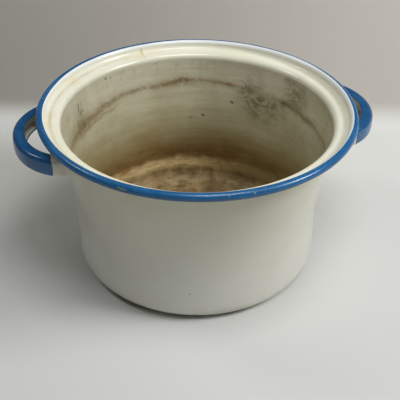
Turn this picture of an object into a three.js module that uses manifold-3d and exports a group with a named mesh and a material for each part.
// Enamelled steel stock pot with a curled blue rim and two strap handles.
// Millimetres, +Z up. Origin: centre of the underside. Handles lie along +X (right)
// and -X (left); front is -Y, rear is +Y.
import * as THREE from 'three';
import { mergeVertices } from 'three/addons/utils/BufferGeometryUtils.js';
import Module from 'manifold-3d';

const wasm = await Module();
wasm.setup();

// ---------------------------------------------------------------- sheet and coats
const STEEL = 0.8; // pressed sheet
const ENAMEL = 0.3; // each fused coat
const FIT = 0.02; // clearance between sheet and coat

// distances from the middle of the body sheet
const HALF_STEEL = STEEL / 2;
const COAT_IN = HALF_STEEL + FIT;
const COAT_OUT = COAT_IN + ENAMEL;

// ---------------------------------------------------------------- body dimensions
const FACETS = 36; // around the pot

const RECESS_R = 80; // shallow recess in the underside
const RECESS_DEPTH = 1.0;
const RECESS_SLOPE = 4; // radial run of the recess edge
const FLOOR_R = 105.4; // flat part of the base ends here
const CORNER = 14.8; // bottom corner radius, outer enamel surface
const CORNER_ANGLES = [-60, -30, 0];

// outer enamel surface of the wall above the bottom corner, as [z, radius]
const WALL = [[64, 119.2], [85.4, 121.0], [107, 124.4], [128.5, 127.4], [145, 129.2]];

const SHOULDER = 6.4; // rounding from the wall into the ledge, enamel surface
const SHOULDER_ANGLES = [180, 150, 120, 90];
const LEDGE_Z = 156.6; // lid seat, enamel surface
const LEDGE_R_IN = 134.4;
const LEDGE_R_OUT = 137.6;
const SEAT_CORNER = [140.8, 157.2]; // mid-sheet [r, z] where the seat turns up to the bead

const BEAD_R = 146.2; // centre of the curled bead
const BEAD_Z = 161.6;
const BEAD_MID = 3.05; // bead radius at the middle of the sheet
const BEAD_START = 180; // degrees; the curl runs over the top
const BEAD_STOP = -108; // and ends here, open underneath
const BEAD_STEPS = 6;
const PAINT_ANGLE = 132; // blue takes over from cream here on the bead (degrees)
const CREAM_GAP = 2; // degrees from the paint line to the cream edge
const BLUE_GAP = 1; // degrees from the paint line to the blue edge

// ---------------------------------------------------------------- handle dimensions
// plan of the grip's outer edge: a half-ellipse with a straight arm at each end
const GRIP_X = 122.9; // centre of the half-ellipse
const GRIP_REACH = 49.2; // along X
const GRIP_HALF_WIDTH = 57.4; // along Y
const ARM = 12; // straight run of each arm, trimmed by the wall
const GRIP_STEPS = 24;

// channel section
const CHANNEL_TOP = 152.4;
const CHANNEL_HEIGHT = 17.5;
const CHANNEL_DEPTH = 11.0;
const CHANNEL_ROUND = 4.2;
const ROUND_MID = 0.293; // inset of a round's middle point, as a share of its radius
const FLANGE_DRAFT = 0.3; // each flange leans in this far at its free edge

// layer faces, as depths below the outer surface of the handle
const STRAP = 1.0; // strap sheet
const STRAP_OUTER = ENAMEL + FIT;
const STRAP_INNER = STRAP_OUTER + STRAP;
const CHANNEL_COAT_OUTER = STRAP_INNER + FIT;
const CHANNEL_COAT_INNER = CHANNEL_COAT_OUTER + ENAMEL;
const SLOT_GAP = 0.3; // space around the strap where it passes the outside coat

// where handle parts meet the wall, from the middle of its sheet
const WELD_IN = HALF_STEEL + 0.05;
const WELD_OUT = HALF_STEEL + 0.75;
const STRAP_END = HALF_STEEL + 0.8;
const ROOT_END = HALF_STEEL + 0.62;

const BLUE_X = 139.7; // the blue stops here on both arms; the roots stay white
const COLOUR_GAP = 0.1; // between root and blue coat
const ROOT_CUT_X = 60; // cutting blocks reach from here, clear of the roots,
const BLUE_CUT_X = 200; // to here, clear of the grip
const CUT_Y = 200;
const CUT_Z = 60;

// ---------------------------------------------------------------- materials
const FINISHES = {
  white: { color: 0xe9e7dc, roughness: 0.22, metalness: 0 },
  cream: { color: 0xe6dfc4, roughness: 0.3, metalness: 0 },
  blue: { color: 0x2f66a8, roughness: 0.2, metalness: 0 },
  ground: { color: 0xb4b1a6, roughness: 0.6, metalness: 0 },
  steel: { color: 0x8c8f92, roughness: 0.45, metalness: 0.9 },
  weld: { color: 0x6f6d69, roughness: 0.6, metalness: 0.8 },
};

// ---------------------------------------------------------------- profile helpers
// point [r, z] on a circle, angle in degrees from outward (+r) towards up
function onCircle(centreR, centreZ, radius, degrees) {
  const angle = (degrees * Math.PI) / 180;
  return [centreR + radius * Math.cos(angle), centreZ + radius * Math.sin(angle)];
}

// moves a line sideways to its right; on the body line that is the outside of the pot
function offsetLine(line, distance, { keepAxis = true } = {}) {
  const last = line.length - 1;
  const normal = (i) => {
    const [startX, startY] = line[i];
    const [endX, endY] = line[i + 1];
    const length = Math.hypot(endX - startX, endY - startY);
    return [(endY - startY) / length, -(endX - startX) / length];
  };
  return line.map(([x, y], i) => {
    // points on the axis stay on it
    if (keepAxis && x === 0) return [0, y - distance];
    const before = normal(Math.max(i - 1, 0));
    const after = normal(Math.min(i, last - 1));
    const mitre = 1 + before[0] * after[0] + before[1] * after[1];
    return [
      x + (distance * (before[0] + after[0])) / mitre,
      y + (distance * (before[1] + after[1])) / mitre,
    ];
  });
}

// closed strip between two offsets of a line, out along the right-hand one
function strip(line, left, right, options) {
  return [...offsetLine(line, right, options), ...offsetLine(line, left, options).reverse()];
}

// turns an anticlockwise [r, z] loop about Z; it either starts and ends on the axis
// or stays clear of it, and is then closed here
function turned(loop) {
  const closed = loop[0][0] === 0 ? loop : [...loop, loop[0]];
  const points = closed.map(([r, z]) => new THREE.Vector2(r, z));
  return new THREE.LatheGeometry(points, FACETS).rotateX(Math.PI / 2);
}

// ---------------------------------------------------------------- solid helpers
function toSolid(geometry) {
  const bare = new THREE.BufferGeometry();
  bare.setAttribute('position', geometry.attributes.position);
  bare.setIndex(geometry.index);
  const merged = mergeVertices(bare, 1e-4);
  const index = merged.index.array;
  const triangles = [];
  for (let i = 0; i < index.length; i += 3) {
    const [a, b, c] = [index[i], index[i + 1], index[i + 2]];
    // merging collapses the triangles that touch the axis
    if (a !== b && b !== c && c !== a) triangles.push(a, b, c);
  }
  return new wasm.Manifold(new wasm.Mesh({
    numProp: 3,
    vertProperties: new Float32Array(merged.attributes.position.array),
    triVerts: new Uint32Array(triangles),
  }));
}

function toGeometry(solid) {
  const mesh = solid.getMesh();
  const geometry = new THREE.BufferGeometry();
  const positions = new Float32Array(mesh.vertProperties);
  geometry.setAttribute('position', new THREE.BufferAttribute(positions, 3));
  geometry.setIndex(new THREE.BufferAttribute(new Uint32Array(mesh.triVerts), 1));
  geometry.computeVertexNormals();
  return geometry;
}

const halfTurn = (solid) => solid.rotate([0, 0, 180]);

// ---------------------------------------------------------------- body
// middle of the sheet from the axis out and up to the foot of the bead, as [r, z]
function makeWallLine() {
  const corner = CORNER - COAT_OUT;
  const shoulder = SHOULDER - COAT_OUT;
  return [
    [0, COAT_OUT + RECESS_DEPTH],
    [RECESS_R - RECESS_SLOPE, COAT_OUT + RECESS_DEPTH],
    [RECESS_R, COAT_OUT],
    [FLOOR_R, COAT_OUT],
    ...CORNER_ANGLES.map((angle) => onCircle(FLOOR_R, CORNER, corner, angle)),
    ...WALL.map(([z, r]) => [r - COAT_OUT, z]),
    ...SHOULDER_ANGLES.map((angle) => onCircle(LEDGE_R_IN, LEDGE_Z - SHOULDER, shoulder, angle)),
    [LEDGE_R_OUT, LEDGE_Z - COAT_OUT],
    SEAT_CORNER,
  ];
}

const beadPoint = (angle) => onCircle(BEAD_R, BEAD_Z, BEAD_MID, angle);

const BEAD_STEP = (BEAD_START - BEAD_STOP) / BEAD_STEPS;
const BEAD_ANGLES = Array.from({ length: BEAD_STEPS + 1 }, (_, i) => BEAD_START - i * BEAD_STEP);
const WALL_LINE = makeWallLine();

function bodyShell() {
  const line = [...WALL_LINE, ...BEAD_ANGLES.map(beadPoint)];
  return turned(strip(line, -HALF_STEEL, HALF_STEEL));
}

// inside coat: axis to the paint line on the bead
function enamelInside() {
  const line = [...WALL_LINE, beadPoint(BEAD_START), beadPoint(PAINT_ANGLE + CREAM_GAP)];
  return turned(strip(line, -COAT_OUT, -COAT_IN));
}

// the bead curls over, so its outer face continues the inner side of the wall
function enamelRim() {
  const start = PAINT_ANGLE - BLUE_GAP;
  const angles = [start, ...BEAD_ANGLES.filter((angle) => angle < start)];
  return turned(strip(angles.map(beadPoint), -COAT_OUT, -COAT_IN));
}

// outside coat: underside, wall and the outside of the lid seat, slotted for the straps
function enamelOutside() {
  const coat = toSolid(turned(strip(WALL_LINE, COAT_IN, COAT_OUT)));
  const slot = swept(STRAP_OUTER - SLOT_GAP, STRAP_INNER + SLOT_GAP);
  return toGeometry(coat.subtract(slot).subtract(halfTurn(slot)));
}

// the pot as a full solid, its surface this far outside the middle of the sheet
function filledPot(distance) {
  const line = offsetLine(WALL_LINE, distance);
  const topZ = line[line.length - 1][1];
  return toSolid(turned([...line, [0, topZ]]));
}

// ---------------------------------------------------------------- handles
// plan of the right grip's outer edge, from the front foot round to the rear foot
class GripEdge extends THREE.Curve {
  getPoint(t, target = new THREE.Vector3()) {
    // approximate length of the half-ellipse
    const arc = Math.PI * Math.sqrt((GRIP_REACH ** 2 + GRIP_HALF_WIDTH ** 2) / 2);
    const along = t * (arc + 2 * ARM) - ARM; // from the start of the half-ellipse
    if (along < 0) return target.set(GRIP_X + along, -GRIP_HALF_WIDTH, 0);
    if (along > arc) return target.set(GRIP_X - (along - arc), GRIP_HALF_WIDTH, 0);
    const angle = Math.PI * (along / arc - 0.5);
    const x = GRIP_X + GRIP_REACH * Math.cos(angle);
    return target.set(x, GRIP_HALF_WIDTH * Math.sin(angle), 0);
  }
}

// outer outline of the channel, top to bottom: [inward from the grip's outer edge, z]
function channelOutline() {
  const top = CHANNEL_TOP;
  const bottom = CHANNEL_TOP - CHANNEL_HEIGHT;
  const round = CHANNEL_ROUND;
  const inset = round * ROUND_MID;
  return [
    [CHANNEL_DEPTH, top - FLANGE_DRAFT],
    [round, top], [inset, top - inset], [0, top - round],
    [0, bottom + round], [inset, bottom + inset], [round, bottom],
    [CHANNEL_DEPTH, bottom + FLANGE_DRAFT],
  ];
}

// layer of the right handle between two depths below its outer surface;
// every layer is swept along the same stations, so the layers nest
function swept(outerDepth, innerDepth) {
  const loop = strip(channelOutline(), -innerDepth, -outerDepth, { keepAxis: false });
  // extrudePath lays shape x along -Z and shape y to the left of the path, which is inward
  const shape = new THREE.Shape(loop.map(([inward, z]) => new THREE.Vector2(-z, inward)));
  shape.closePath();
  return toSolid(new THREE.ExtrudeGeometry(shape, {
    steps: GRIP_STEPS,
    bevelEnabled: false,
    extrudePath: new GripEdge(),
  }));
}

// cutting block around the handle between two X positions
function block(fromX, toX) {
  const box = new THREE.BoxGeometry(toX - fromX, CUT_Y, CUT_Z);
  box.translate((fromX + toX) / 2, 0, CHANNEL_TOP);
  return toSolid(box);
}

// splits a pair of pieces into [front, rear]
function frontAndRear(solid) {
  const parts = solid.decompose();
  return [-1, 1].map((side) => parts.find((part) => {
    const { min, max } = part.boundingBox();
    return Math.sign(min[1] + max[1]) === side;
  }));
}

// solids of the right handle
function handleParts() {
  const fullStrap = swept(STRAP_OUTER, STRAP_INNER);
  const rootLimit = filledPot(ROOT_END);
  const outerCoat = swept(0, ENAMEL).subtract(rootLimit);
  const weldRing = filledPot(WELD_OUT).subtract(filledPot(WELD_IN));
  return {
    strap: fullStrap.subtract(filledPot(STRAP_END)),
    blueCoat: outerCoat.intersect(block(BLUE_X, BLUE_CUT_X)),
    channelCoat: swept(CHANNEL_COAT_OUTER, CHANNEL_COAT_INNER).subtract(rootLimit),
    roots: frontAndRear(outerCoat.intersect(block(ROOT_CUT_X, BLUE_X - COLOUR_GAP))),
    welds: frontAndRear(fullStrap.intersect(weldRing)),
  };
}

// ---------------------------------------------------------------- assembly
const pot = new THREE.Group();
pot.name = 'stock_pot';

function add(name, geometry, finish) {
  const mesh = new THREE.Mesh(geometry, new THREE.MeshStandardMaterial(FINISHES[finish]));
  mesh.name = name;
  pot.add(mesh);
}

// front and rear give the places of those feet in each pair of right-handle pieces
function addHandle(side, parts, { place, front, rear }) {
  const addPart = (name, solid, finish) => add(name, toGeometry(place(solid)), finish);
  addPart(`handle_${side}`, parts.strap, 'steel');
  addPart(`enamel_handle_${side}`, parts.blueCoat, 'blue');
  addPart(`enamel_channel_${side}`, parts.channelCoat, 'ground');
  addPart(`enamel_root_${side}_front`, parts.roots[front], 'white');
  addPart(`enamel_root_${side}_rear`, parts.roots[rear], 'white');
  addPart(`weld_${side}_front`, parts.welds[front], 'weld');
  addPart(`weld_${side}_rear`, parts.welds[rear], 'weld');
}

add('body_shell', bodyShell(), 'steel');
add('enamel_outside', enamelOutside(), 'white');
add('enamel_inside', enamelInside(), 'cream');
add('enamel_rim', enamelRim(), 'blue');

// the left handle is the right one turned half a turn, which swaps its front and rear feet
const rightParts = handleParts();
addHandle('right', rightParts, { place: (solid) => solid, front: 0, rear: 1 });
addHandle('left', rightParts, { place: halfTurn, front: 1, rear: 0 });

export default pot;
